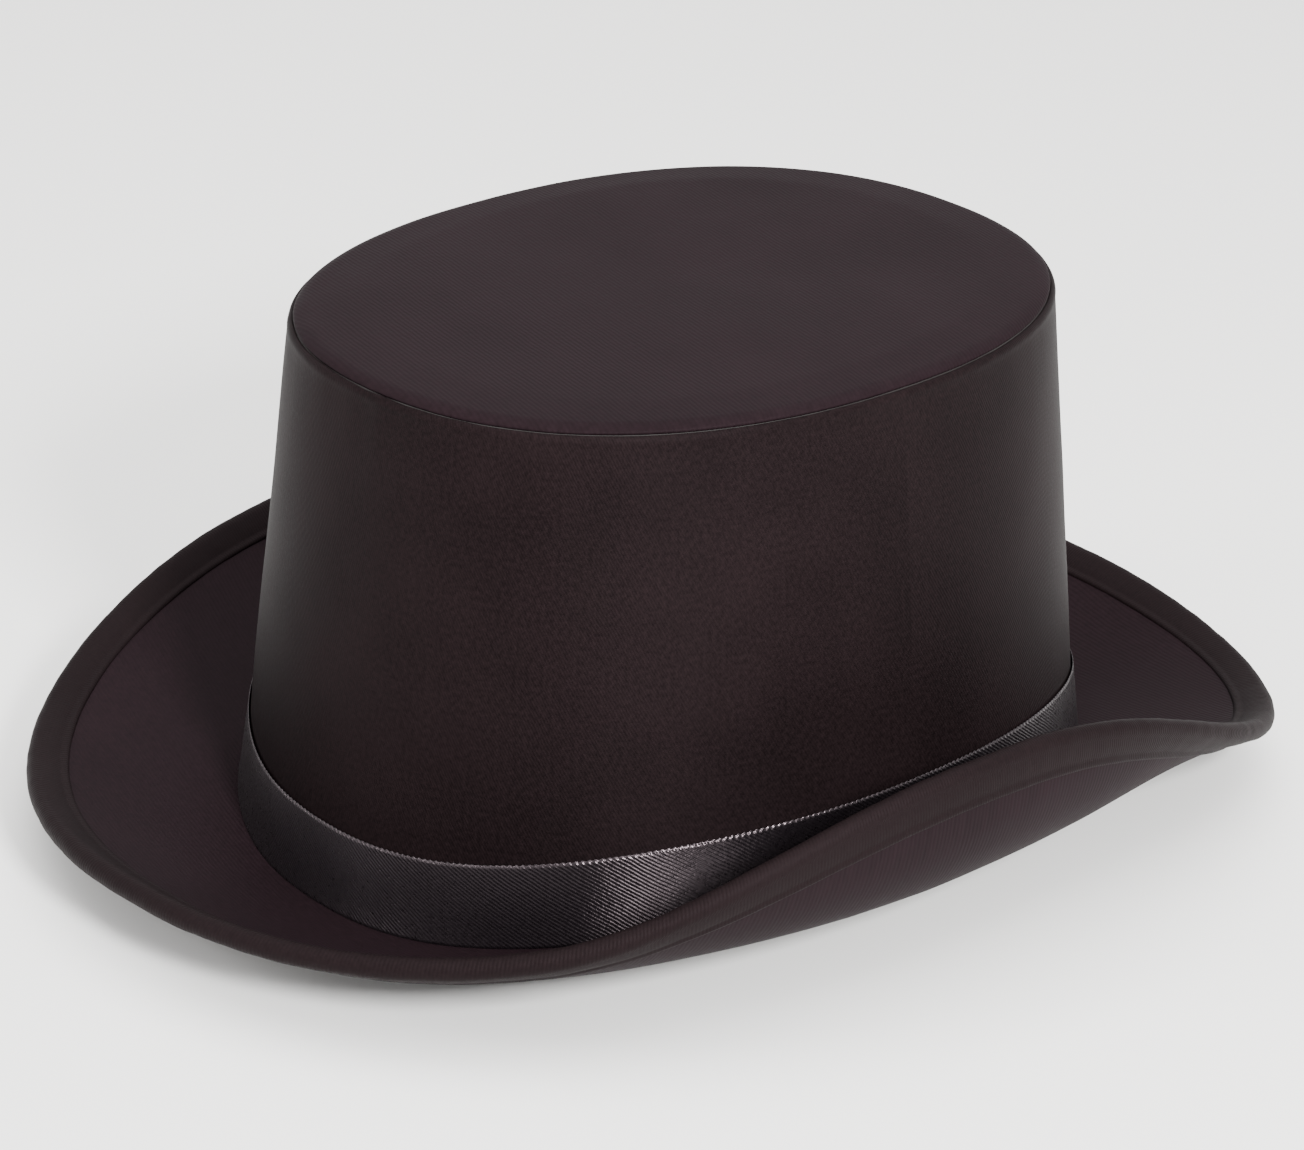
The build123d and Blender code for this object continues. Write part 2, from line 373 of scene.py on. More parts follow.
def add_node(tree, kind, settings=None, values=None, links=None):
    """Add a node with its settings, its input values and its links."""
    node = tree.nodes.new(kind)
    for key, value in (settings or {}).items():
        setattr(node, key, value)
    for key, value in (values or {}).items():
        node.inputs[key].default_value = value
    for key, source in (links or {}).items():
        tree.links.new(source, node.inputs[key])
    return node


def shader_values(shader, values):
    for key, value in values.items():
        shader.inputs[key].default_value = value


def woven(name, colour, spacing, slant, rib, roughness, anisotropy, bump, painted_light_and_mottle, lustre, sheen=0.0):
    """Woven cloth: twill ribs over the cloth map, with painted shade along the ribs, painted glints of single
    threads and soft mottling in its colour.
    """
    material = bpy.data.materials.get(name)
    if material:
        return material
    material = bpy.data.materials.new(name)
    material.use_nodes = True
    tree = material.node_tree
    shader = tree.nodes["Principled BSDF"]
    cloth_map = add_node(tree, "ShaderNodeUVMap", {"uv_map": "cloth"}).outputs["UV"]
    split = add_node(tree, "ShaderNodeSeparateXYZ", links={"Vector": cloth_map})
    run = add_node(tree, "ShaderNodeMath", {"operation": "MULTIPLY"}, {1: math.cos(slant) / spacing},
                   {0: split.outputs["X"]})
    rise = add_node(tree, "ShaderNodeMath", {"operation": "MULTIPLY_ADD"}, {1: math.sin(slant) / spacing},
                    {0: split.outputs["Y"], 2: run.outputs[0]})
    # The rib wanders a little, as threads of uneven tension do
    wander = add_node(tree, "ShaderNodeTexNoise", {"noise_dimensions": "2D"}, {"Scale": 90.0, "Detail": 2.0},
                      {"Vector": cloth_map})
    phase = add_node(tree, "ShaderNodeMath", {"operation": "MULTIPLY_ADD"}, {1: 0.9},
                     {0: wander.outputs["Fac"], 2: rise.outputs[0]})
    turn = add_node(tree, "ShaderNodeMath", {"operation": "MULTIPLY"}, {1: FULL_TURN}, {0: phase.outputs[0]})
    wave = add_node(tree, "ShaderNodeMath", {"operation": "SINE"}, links={0: turn.outputs[0]})
    threads = add_node(tree, "ShaderNodeTexNoise", {"noise_dimensions": "2D"},
                       {"Scale": 1 / (1.6 * spacing), "Detail": 3.0, "Roughness": 0.7}, {"Vector": cloth_map})
    patches = add_node(tree, "ShaderNodeTexNoise", {"noise_dimensions": "2D"},
                       {"Scale": 22.0, "Detail": 3.0, "Roughness": 0.55}, {"Vector": cloth_map})
    height = add_node(tree, "ShaderNodeMath", {"operation": "MULTIPLY_ADD"}, {1: rib},
                      {0: wave.outputs[0], 2: threads.outputs["Fac"]})
    relief = add_node(tree, "ShaderNodeBump", values={"Strength": bump, "Distance": 0.00012},
                      links={"Height": height.outputs[0]})
    tree.links.new(relief.outputs["Normal"], shader.inputs["Normal"])
    dark = tuple(c * (1 - painted_light_and_mottle) for c in linear(colour)[:3]) + (1.0,)
    light = tuple(min(1.0, c * (1 + painted_light_and_mottle)) for c in linear(colour)[:3]) + (1.0,)
    # Painted glints: single threads catch the light or miss it, and this is painted into the colour as a fine
    # grain over the cloth
    thread_glint = add_node(tree, "ShaderNodeMath", {"operation": "MULTIPLY_ADD"}, {1: 1.8, 2: -0.9},
                     {0: threads.outputs["Fac"]})
    glint_and_patches = add_node(tree, "ShaderNodeMath", {"operation": "ADD"},
                    links={0: thread_glint.outputs[0], 1: patches.outputs["Fac"]})
    # The colour mixes painted shade along the ribs, the painted thread glints and soft patches that differ at
    # random
    painted_light_and_patches = add_node(tree, "ShaderNodeMath", {"operation": "MULTIPLY_ADD"}, {1: 0.12},
                     {0: wave.outputs[0], 2: glint_and_patches.outputs[0]})
    shade = add_node(tree, "ShaderNodeMix", {"data_type": "RGBA"}, {"A": dark, "B": light},
                     {"Factor": painted_light_and_patches.outputs[0]})
    tree.links.new(shade.outputs["Result"], shader.inputs["Base Color"])
    gloss = add_node(tree, "ShaderNodeMapRange",
                     values={"To Min": roughness - 0.06, "To Max": roughness + 0.08},
                     links={"Value": threads.outputs["Fac"]})
    tree.links.new(gloss.outputs["Result"], shader.inputs["Roughness"])
    tangent = add_node(tree, "ShaderNodeTangent", {"direction_type": "UV_MAP", "uv_map": "cloth"})
    tree.links.new(tangent.outputs["Tangent"], shader.inputs["Tangent"])
    # A quarter turn: floats along the cloth draw the light out across them
    shader_values(shader, {"Anisotropic": anisotropy, "Anisotropic Rotation": 0.25, "Sheen Weight": sheen,
                           "Sheen Roughness": 0.45, "Specular IOR Level": lustre, "IOR": 1.5,
                           "Specular Tint": (1.0, 0.82, 0.88, 1.0)})
    return material


def satin_cloth():
    """Polyester satin, woven with long floats and calendered: a soft sheen, fine slanting ribs."""
    # Real ribs are about 0.4 mm apart; they are drawn at 0.7 mm so that they show
    return woven("polyester_satin_calendered", colours().satin, spacing=0.7 * MM, slant=math.radians(30),
                 rib=0.28, roughness=0.58, anisotropy=0.5, bump=0.40, painted_light_and_mottle=0.45, lustre=0.035)


def flat_satin_cloth():
    """The same satin laid flat over the brim and the tip: its ribs cross the hat from side to side; its
    lighter colour is painted light.
    """
    # Real ribs are about 0.4 mm apart; they are drawn at 1.1 mm so that they show
    return woven("polyester_satin_bonded", colours().flat_satin, spacing=1.1 * MM, slant=math.radians(79),
                 rib=0.4, roughness=0.58, anisotropy=0.3, bump=0.42, painted_light_and_mottle=0.22, lustre=0.04)


def binding_cloth():
    """The same satin cut on the bias: its ribs cross the strip."""
    # Real ribs are about 0.4 mm apart; they are drawn at 0.6 mm so that they show
    return woven("polyester_satin_bias", colours().satin, spacing=0.6 * MM, slant=math.radians(4), rib=0.5,
                 roughness=0.6, anisotropy=0.2, bump=0.45, painted_light_and_mottle=0.2, lustre=0.05)


def ribbon_cloth():
    """Double-faced satin ribbon, heat-pressed: glossier, its light drawn out across the threads."""
    # Real ribs are about 0.3 mm apart; they are drawn at 0.75 mm so that they show
    return woven("satin_ribbon_pressed", colours().ribbon, spacing=0.75 * MM, slant=math.radians(55),
                 rib=0.45, roughness=0.28, anisotropy=0.9, bump=0.5, painted_light_and_mottle=0.10, lustre=0.6)


def lining_cloth():
    """Thin plain-woven polyester lining: a dull sheen and hardly any ribs."""
    return woven("polyester_lining_woven", colours().lining, spacing=0.6 * MM, slant=0.0, rib=0.3,
                 roughness=0.5, anisotropy=0.2, bump=0.3, painted_light_and_mottle=0.12, lustre=0.5, sheen=0.1)


def sweatband_cloth():
    """Woven grosgrain band: upright ribs and no gloss."""
    return woven("grosgrain_band_woven", colours().sweatband, spacing=0.9 * MM, slant=0.0, rib=1.0,
                 roughness=0.62, anisotropy=0.0, bump=0.5, painted_light_and_mottle=0.12, lustre=0.3, sheen=0.2)


def label_cloth():
    """White woven tape: plain, matt, a little fuzzy."""
    return woven("woven_tape_blank", colours().label, spacing=0.5 * MM, slant=0.0, rib=0.6,
                 roughness=0.8, anisotropy=0.0, bump=0.4, painted_light_and_mottle=0.05, lustre=0.3, sheen=0.2)


def thread_fibre():
    """Spun polyester thread, twisted from plies: fine slanting twist and a soft sheen."""
    return woven("spun_polyester_thread", colours().thread, spacing=0.35 * MM, slant=math.radians(50),
                 rib=1.0, roughness=0.6, anisotropy=0.0, bump=0.5, painted_light_and_mottle=0.15, lustre=0.05)


def foam_board():
    """Pressed foam board, closed cells under a skin: matt, finely pitted."""
    material = bpy.data.materials.get("foam_board_pressed") or bpy.data.materials.new("foam_board_pressed")
    material.use_nodes = True
    tree = material.node_tree
    shader = tree.nodes["Principled BSDF"]
    where = add_node(tree, "ShaderNodeTexCoord").outputs["Object"]
    cells = add_node(tree, "ShaderNodeTexVoronoi", values={"Scale": 1 / (0.8 * MM)}, links={"Vector": where})
    relief = add_node(tree, "ShaderNodeBump", values={"Strength": 0.3, "Distance": 0.0001},
                      links={"Height": cells.outputs["Distance"]})
    tree.links.new(relief.outputs["Normal"], shader.inputs["Normal"])
    patches = add_node(tree, "ShaderNodeTexNoise", values={"Scale": 40.0}, links={"Vector": where})
    base = linear(colours().board)
    dark, light = [tuple(c * share for c in base[:3]) + (1.0,) for share in (0.85, 1.2)]
    shade = add_node(tree, "ShaderNodeMix", {"data_type": "RGBA"}, {"A": dark, "B": light},
                     {"Factor": patches.outputs["Fac"]})
    tree.links.new(shade.outputs["Result"], shader.inputs["Base Color"])
    shader_values(shader, {"Roughness": 0.85, "Specular IOR Level": 0.3})
    return material


def drawn_steel():
    """Spring steel wire, drawn through dies: fine lines along it and a soft metallic gloss."""
    material = bpy.data.materials.get("spring_steel_drawn") or bpy.data.materials.new("spring_steel_drawn")
    material.use_nodes = True
    tree = material.node_tree
    shader = tree.nodes["Principled BSDF"]
    where = add_node(tree, "ShaderNodeTexCoord").outputs["Object"]
    lines = add_node(tree, "ShaderNodeTexNoise", values={"Scale": 1 / (0.3 * MM), "Detail": 2.0},
                     links={"Vector": where})
    gloss = add_node(tree, "ShaderNodeMapRange", values={"To Min": 0.25, "To Max": 0.45},
                     links={"Value": lines.outputs["Fac"]})
    tree.links.new(gloss.outputs["Result"], shader.inputs["Roughness"])
    shader_values(shader, {"Base Color": linear(colours().steel), "Metallic": 1.0})
    return material


def table_paint():
    """Pale painted table top, rolled: nearly matt with a faint stipple."""
    material = bpy.data.materials.get("table_paint_rolled") or bpy.data.materials.new("table_paint_rolled")
    material.use_nodes = True
    tree = material.node_tree
    shader = tree.nodes["Principled BSDF"]
    where = add_node(tree, "ShaderNodeTexCoord").outputs["Object"]
    stipple = add_node(tree, "ShaderNodeTexNoise", values={"Scale": 1 / (2 * MM)}, links={"Vector": where})
    relief = add_node(tree, "ShaderNodeBump", values={"Strength": 0.03, "Distance": 0.0001},
                      links={"Height": stipple.outputs["Fac"]})
    tree.links.new(relief.outputs["Normal"], shader.inputs["Normal"])
    shader_values(shader, {"Base Color": linear(colours().table), "Roughness": 0.9})
    return material


# Pieces ----------------------------------------------------------------------------------------


class HAT_OT_crown_side(bpy.types.Operator):
    """Satin round the crown's side, turned over its upper edge as far as the seam"""

    bl_idname = "hat.crown_side"
    bl_label = "Crown side"

    def execute(self, context):
        radius = sizes().tip_radius
        headings, along = even_headings(sizes().around_count)
        foot = base_line(headings) + 0.1 * MM
        shoulder = CROWN_HEIGHT - radius
        outward, heights, across = [], [], []
        for t in np.linspace(0, 1, 44):
            z = foot + (shoulder - foot) * t
            outward.append(wall_outward(headings, z))
            heights.append(z)
            across.append(z - foot.min())
        wall_top = across[-1]
        lean = wall_outward(headings, shoulder * np.ones_like(headings))
        # The seam allowance lies under the cloth below the seam and lifts it into a low ridge
        swell = np.clip(0.5 + 0.9 * np.cos(headings - SEAM_HEADING), 0, 1)
        for angle, lift in ((6, 0.02), (12, 0.12), (17, 0.26), (22, 0.34), (27, 0.36), (32, 0.30), (36, 0.12),
                            (38, -0.12), (39, -0.45), (39.5, -0.9), (40, -1.4)):
            turn = math.radians(angle)
            reach = radius + lift * MM * (0.35 + 0.65 * swell if lift > 0 else 1.0)
            outward.append(lean - radius + reach * math.cos(turn))
            heights.append(shoulder + reach * math.sin(turn) + 0 * headings)
            across.append(wall_top + radius * turn)
        points = place(headings, np.array(outward), np.array(heights))
        normal = grid_normals(points, True)
        depth = np.clip((points[..., 2] - foot) / (shoulder - foot), 0, 1)[..., None]
        slack = waves(points, 46, 1, 0.35) + waves(points, 17, 2, 0.08)
        puckers = ripple(points * np.array([1, 1, 0.25]), 7 * MM, 3)[..., None]
        loose = (0.3 + np.clip(np.cos(headings - PUCKER_HEADING), 0, 1) ** 4)[None, :, None]
        shape = points + normal * ((slack + 0.1 * MM) * np.minimum(1, depth * 4) * (1 - depth ** 6)
                                   + puckers * 0.16 * MM * depth ** 9 * loose)
        piece = cloth_grid("crown_side_satin", shape, along, np.array(across), satin_cloth(),
                           thickness=sizes().satin)
        finish_piece(piece, "crown_satin", "crown_side_cover")
        return {"FINISHED"}


class HAT_OT_crown_tip(bpy.types.Operator):
    """Satin oval of the crown's top, seamed to the side inside the rounded edge"""

    bl_idname = "hat.crown_tip"
    bl_label = "Crown tip"

    def execute(self, context):
        radius = sizes().tip_radius
        headings, _ = even_headings(sizes().around_count)
        lean = wall_outward(headings, (CROWN_HEIGHT - radius) * np.ones_like(headings)) - radius
        middle = CROWN_HEIGHT - radius
        lines = []
        for angle, lift in ((41, -1.4), (41.5, -0.9), (42, -0.4), (43.5, -0.1), (47, 0.06), (52, 0.1),
                            (58, 0.08), (65, 0.04), (73, 0.0), (81, 0.0), (90, 0.0)):
            reach, turn = radius + lift * MM, math.radians(angle)
            lines.append(place(headings, lean + reach * math.cos(turn),
                               np.full_like(headings, middle + reach * math.sin(turn))))
        edge = lines[-1]
        for share in np.linspace(1, 0, 40)[1:-1]:
            inner = edge * np.array([share, share, 1])
            lines.append(inner)
        points = np.array(lines)
        normal = np.array([0, 0, 1.0])
        inside = 1 - np.clip((np.linalg.norm(points[..., :2], axis=-1)
                              / np.linalg.norm(edge[None, :, :2], axis=-1)), 0, 1)
        soft = 0.55 * MM + ripple(points, 55 * MM, 5) * 0.5 * MM + ripple(points, 24 * MM, 6) * 0.12 * MM
        shape = points + normal * (np.maximum(soft, 0.1 * MM) * np.clip(inside * 8, 0, 1))[..., None]
        side = np.clip(np.cos(headings - PUCKER_HEADING), 0, 1) ** 4
        pucker = ripple(points, 13 * MM, 8) * (0.05 + 0.14 * side) * MM * np.clip(1 - inside * 10, 0, 1)
        shape = shape + normal * pucker[..., None]
        piece = flat_cut("crown_tip_satin", shape, flat_satin_cloth(), sizes().satin,
                         pole=shape[-1].mean(axis=0))
        finish_piece(piece, "crown_satin", "crown_tip_cover")
        return {"FINISHED"}


def brim_sheet(name, depth, seed, normal_out):
    """One face of the brim, from under the crown's wall to under the binding."""
    headings, _ = even_headings(sizes().around_count)
    length = brim_length(headings) - BRIM_SATIN_SHORT
    start = -BRIM_SATIN_IN
    outward, heights = [], []
    shares = np.linspace(0, 1, 40)
    for t in shares:
        u, z = brim_place(headings, start + (length - start) * t, depth)
        outward.append(u)
        heights.append(z)
    points = place(headings, np.array(outward), np.array(heights))
    normal = grid_normals(points, True) * normal_out
    edge = np.clip(np.minimum(shares, 1 - shares) * 6, 0, 1)[:, None, None]
    slack = waves(points, 38, seed, 0.3) + waves(points, 13, seed + 1, 0.05)
    shape = points + normal * (np.abs(slack) * edge)
    if normal_out < 0:
        shape = shape[:, ::-1]
    return flat_cut(name, shape, flat_satin_cloth(), sizes().satin), shape


class HAT_OT_brim_faces(bpy.types.Operator):
    """Satin on the brim's upper and lower face"""

    bl_idname = "hat.brim_faces"
    bl_label = "Brim faces"

    def execute(self, context):
        top, top_shape = brim_sheet("brim_top_satin", 0.0, 11, 1)
        finish_piece(top, "brim_satin", "brim_top_cover")
        under, under_shape = brim_sheet("brim_underside_satin", sizes().brim_stack, 13, -1)
        finish_piece(under, "brim_satin", "brim_under_cover")
        return {"FINISHED"}


class HAT_OT_rim_binding(bpy.types.Operator):
    """Bias strip folded over the rim, with its row of stitches on each face"""

    bl_idname = "hat.rim_binding"
    bl_label = "Rim binding"

    def execute(self, context):
        count = sizes().around_count * 2
        headings, along = even_headings(count)
        half = sizes().brim_stack / 2
        bead = half + sizes().binding_proud
        rim = brim_length(headings) - bead
        leg = sizes().binding_width - bead
        # Distance back from the rim bead, and how far the strip stands off the brim's face there
        fold = [(1.0, -0.15), (1.03, 0.25), (1.0, 0.62), (0.93, 0.75), (0.84, 0.55), (0.76, 0.42),
                (0.68, 0.55), (0.5, 0.82), (0.3, 0.95), (0.12, 1.0)]
        outward, heights, across = [], [], []

        def add(distance, depth, where):
            u, z = brim_place(headings, distance, depth)
            outward.append(u)
            heights.append(z)
            across.append(where)

        for back, stand in fold:
            add(rim - leg * back, -sizes().binding_proud * stand + 0 * headings, -leg * back)
        for angle in np.radians(np.linspace(-90, 90, 13)):
            add(rim + bead * math.cos(angle), half + bead * math.sin(angle) + 0 * headings,
                bead * (angle + 1.6))
        for back, stand in reversed(fold):
            add(rim - leg * back, 2 * half + sizes().binding_proud * stand + 0 * headings,
                sizes().binding_width + leg * (1 - back))
        points = place(headings, np.array(outward), np.array(heights))
        normal = grid_normals(points, True)
        rows = len(points)
        loose = np.sin(np.pi * np.linspace(0, 1, rows))[:, None, None] * 0.5 + 0.5
        pull = waves(points, 4.2, 21, 0.10) + waves(points, 15, 22, 0.16)
        shape = points + normal * pull * loose
        piece = cloth_grid("rim_binding_satin", shape, along, np.array(across), binding_cloth(),
                           thickness=0.35 * MM)
        finish_piece(piece, "binding_satin", "brim_binding")
        for side, name in ((0, "top"), (1, "underside")):
            self.stitches(side, name, half, bead)
        return {"FINISHED"}

    def stitches(self, side, name, half, bead):
        """Running stitches near the strip's folded edge on one face."""
        pitch = sizes().stitch_pitch
        headings, _ = even_headings(int(RIM_ROUND / pitch), closed=False)
        back = sizes().binding_width - bead
        depth = -sizes().binding_proud * 0.42 if side == 0 else 2 * half + sizes().binding_proud * 0.42
        ends, normals = [], []
        for k, heading in enumerate(headings[:-1]):
            gap = 0.62 * (headings[k + 1] - heading)
            pair = np.array([heading, heading + gap])
            distance = brim_length(pair) - bead - back * 0.76
            u, z = brim_place(pair, distance, depth)
            start, end = place(pair, u, z)
            over_u, over_z = brim_place(pair, distance, depth + (-1 if side == 0 else 1) * MM)
            above = place(pair, over_u, over_z)[0]
            normal = (above - start) / np.linalg.norm(above - start)
            ends.append((start, end))
            normals.append(normal)
        piece = stitch_row(f"binding_stitches_{name}", ends, normals, 0.22 * MM, thread_fibre())
        return finish_piece(piece, "binding_satin")


def around_unevenly(headings):
    """Slow change from 0.4 to 1 along the ribbon, for loops that are pulled in here and there."""
    return 0.7 + 0.3 * np.sin(9 * headings + 1.1) * np.sin(23 * headings)


def ribbon_points(headings, stand, rows, teeth):
    """Grid of the ribbon: its foot flares over the brim, its upper selvedge has small loops."""
    foot = base_line(headings) + sizes().band_lift
    lines = []
    across = []
    for t in np.linspace(0, 1, rows):
        z = foot + sizes().band_width * t
        flare = 0.9 * MM * (1 - t) ** 3
        cup = 0.25 * MM * math.sin(math.pi * t)
        top = teeth * around_unevenly(headings) if t == 1 else -0.5 * teeth if t == 0 else 0.0
        lines.append(place(headings, wall_outward(headings, z) + stand + flare + cup, z + top))
        across.append(sizes().band_width * t)
    return np.array(lines), np.array(across)


class HAT_OT_hat_band(bpy.types.Operator):
    """Satin ribbon round the foot of the crown, and the keeper over its ends"""

    bl_idname = "hat.hat_band"
    bl_label = "Hat band"

    def execute(self, context):
        headings, along = even_headings(sizes().around_count * 2)
        teeth = 0.22 * MM * np.sin(along[:-1] / (1.5 * MM) * FULL_TURN)
        points, across = ribbon_points(headings, sizes().band_stand, 22, teeth)
        normal = grid_normals(points, True)
        height = np.linspace(0, 1, len(points))[:, None, None]
        slack = waves(points * np.array([1, 1, 0.4]), 30, 31, 0.45)
        fine = waves(points, 9, 32, 0.06)
        shape = points + normal * ((slack + 0.1 * MM) * (0.35 + 0.65 * np.sin(np.pi * height)) + fine)
        piece = cloth_grid("hat_band_ribbon", shape, along, across, ribbon_cloth(), thickness=0.2 * MM)
        finish_piece(piece, "ribbon", "hat_band")
        self.keeper()
        return {"FINISHED"}

    def keeper(self):
        """Short piece of ribbon wrapped over the join, its ends tucked behind."""
        low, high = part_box("hat_band_join")
        middle = math.degrees(math.atan2((low.y + high.y) / 2 / CROWN_LENGTH ** 2, (low.x + high.x) / 2
                                         / CROWN_WIDTH ** 2))
        half_turn, stand = 4.5, 2.1 * MM  # degrees to each side, and off the crown, over the ribbon's ends
        headings, along = even_headings(40, middle - half_turn, middle + half_turn, closed=False)
        points, across = ribbon_points(headings, stand, 24, 0.0)
        normal = grid_normals(points, False)
        width = np.linspace(-1, 1, points.shape[1])[None, :, None]
        height = np.linspace(-1, 1, len(points))[:, None, None]
        pinch = -0.9 * MM * np.abs(width) ** 6 - 0.5 * MM * np.abs(height) ** 8
        crease = 0.18 * MM * np.sin(width * 9) * (1 - np.abs(height) * 0.5)
        shape = points + normal * (pinch + crease)
        shape[..., 2] += 0.25 * MM * height[..., 0]
        piece = cloth_grid("hat_band_keeper", shape, along, across, ribbon_cloth(), wrap=False,
                           thickness=0.35 * MM)
        finish_piece(piece, "ribbon", "hat_band_join")


class HAT_OT_sweatband(bpy.types.Operator):
    """Woven band inside the opening, stitched along its foot, and its blank label"""

    bl_idname = "hat.sweatband"
    bl_label = "Sweatband"

    def execute(self, context):
        inset = sizes().wall_stack + 0.7 * MM
        thickness = 0.8 * MM
        headings, along = even_headings(sizes().around_count)
        foot = base_line(headings) + 0.1 * MM
        lines, across = [], []
        for t in np.linspace(0, 1, 26):
            z = foot + (sizes().sweatband_width - 0.3 * MM) * t
            free = 1.4 * MM * t ** 2
            roll = 0.25 * MM * max(0.0, t - 0.93) / 0.07
            lines.append(place(headings, wall_outward(headings, z) - inset - free + roll, z))
            across.append(sizes().sweatband_width * t)
        points = np.array(lines)[:, ::-1]
        normal = grid_normals(points, True)
        height = np.linspace(0, 1, len(points))[:, None, None]
        wave = ripple(points * np.array([1, 1, 0.5]), 34 * MM, 41)[..., None]
        shape = points + normal * (np.abs(wave) * 1.1 * MM * height ** 2)
        piece = cloth_grid("sweatband_grosgrain", shape, along, np.array(across), sweatband_cloth(),
                           thickness=-thickness)
        finish_piece(piece, "sweatband", "sweatband")
        stitches = self.stitches(inset)
        self.label(inset + thickness)
        return {"FINISHED"}

    def stitches(self, inset):
        """Zigzag that holds the band's foot to the brim."""
        pitch = sizes().stitch_pitch * 0.8
        headings, _ = even_headings(int(OPENING_ROUND / pitch), closed=False)
        ends, normals = [], []
        for k, heading in enumerate(headings[:-1]):
            low, high = (1.6 * MM, 4.2 * MM) if k % 2 else (4.2 * MM, 1.6 * MM)
            pair = np.array([heading, headings[k + 1]])
            z = base_line(pair) + np.array([low, high])
            start, end = place(pair, wall_outward(pair, z) - inset - 0.85 * MM, z)
            ends.append((start, end))
            normals.append(np.array([-math.cos(heading), -math.sin(heading), 0.0]))
        piece = stitch_row("sweatband_zigzag", ends, normals, 0.2 * MM, thread_fibre())
        return finish_piece(piece, "sweatband")

    def label(self, inset):
        """Blank woven label on the band, at the back."""
        low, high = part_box("care_label")
        # The oval is flatter at the back than an ellipse, so the label spans fewer degrees of heading there
        flatness = 0.72
        half = flatness * math.degrees(math.atan2(high.x, high.y * CROWN_WIDTH ** 2 / CROWN_LENGTH ** 2))
        headings, along = even_headings(48, 90 - half, 90 + half, closed=False)
        lines, across = [], []
        for t in np.linspace(0, 1, 24):
            z = low.z + (high.z - low.z) * t
            lines.append(place(headings, wall_outward(headings, z) - inset - 0.9 * MM - 0.8 * MM * t * t, z
                               + 0 * headings))
            across.append((high.z - low.z) * t)
        points = np.array(lines)[:, ::-1]
        normal = grid_normals(points, False)
        bulge = waves(points, 12, 51, 0.2)
        shape = points + normal * bulge
        piece = cloth_grid("care_label_blank", shape, along, np.array(across), label_cloth(), wrap=False,
                           thickness=-0.3 * MM)
        finish_piece(piece, "label", "care_label")


class HAT_OT_lining(bpy.types.Operator):
    """Thin lining of the crown's side, gathered at the top, and its oval tip"""

    bl_idname = "hat.lining"
    bl_label = "Lining"

    def execute(self, context):
        inset = sizes().wall_stack + 0.1 * MM
        headings, along = even_headings(sizes().around_count)
        foot = base_line(headings) + 0.1 * MM
        head = TIP_FOOT - 0.2 * MM
        lines, across = [], []
        for t in np.linspace(0, 1, 50):
            z = foot + (head - foot) * t
            lines.append(place(headings, wall_outward(headings, z) - inset, z))
            across.append(0.12 * t)
        points = np.array(lines)[:, ::-1]
        normal = grid_normals(points, True)
        height = np.linspace(0, 1, len(points))[:, None, None]
        gathers = ripple(points * np.array([1, 1, 0.12]), 9 * MM, 61)[..., None]
        slack = ripple(points, 45 * MM, 62)[..., None]
        above = np.clip((height - 0.3) / 0.7, 0, 1)
        shape = points + normal * (0.3 * MM + np.abs(gathers) * 1.5 * MM * above ** 1.5
                                   + np.abs(slack) * 1.6 * MM * np.sin(np.pi * height) * above ** 0.3)
        side = cloth_grid("lining_side", shape, along, np.array(across), lining_cloth(), thickness=-0.25 * MM)
        finish_piece(side, "lining", "crown_side_lining")
        self.tip(inset, head)
        return {"FINISHED"}

    def tip(self, inset, head):
        """Oval of lining under the tip, slack in its middle, with a corded seam round it."""
        headings, _ = even_headings(sizes().around_count)
        lean = wall_outward(headings, head * np.ones_like(headings)) - inset
        lines = []
        for drop_in, rise in ((0.2, -2.0), (0.9, -2.7), (2.0, -2.7), (2.8, -1.8), (3.4, -0.4), (4.4, 0.6)):
            lines.append(place(headings, lean - drop_in * MM, np.full_like(headings, head + rise * MM)))
        edge = lines[-1]
        rounding = CROWN_HEIGHT - 3.2 * MM - edge[0, 2]
        for share in np.linspace(1, 0, 36)[1:-1]:
            inner = edge * np.array([share, share, 1])
            inner[:, 2] += min(1.0, (1 - share) * 9) * rounding * 0.85
            lines.append(inner)
        points = np.array(lines)[:, ::-1]
        shape = points.copy()
        middle = np.clip(1 - np.linalg.norm(points[..., :2], axis=-1) / 0.09, 0, 1)
        slack = np.abs(ripple(points, 30 * MM, 71)) * 1.8 * MM + 0.4 * MM
        shape[..., 2] -= slack * np.clip(middle * 3, 0, 1)
        piece = flat_cut("lining_tip", shape, lining_cloth(), -0.25 * MM, pole=shape[-1].mean(axis=0))
        finish_piece(piece, "lining", "crown_tip_lining")


class HAT_OT_stiffening(bpy.types.Operator):
    """Finish of the boards, the rim wire and its joiner, which keep their own shapes"""

    bl_idname = "hat.stiffening"
    bl_label = "Boards and wire"

    def execute(self, context):
        finishes = {"crown_side_board": foam_board, "crown_tip_board": foam_board, "brim_board": foam_board,
                    "brim_wire": drawn_steel, "brim_wire_joiner": drawn_steel}
        for name, finish in finishes.items():
            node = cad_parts[name]
            node.data.materials.clear()
            node.data.materials.append(finish())
        return {"FINISHED"}


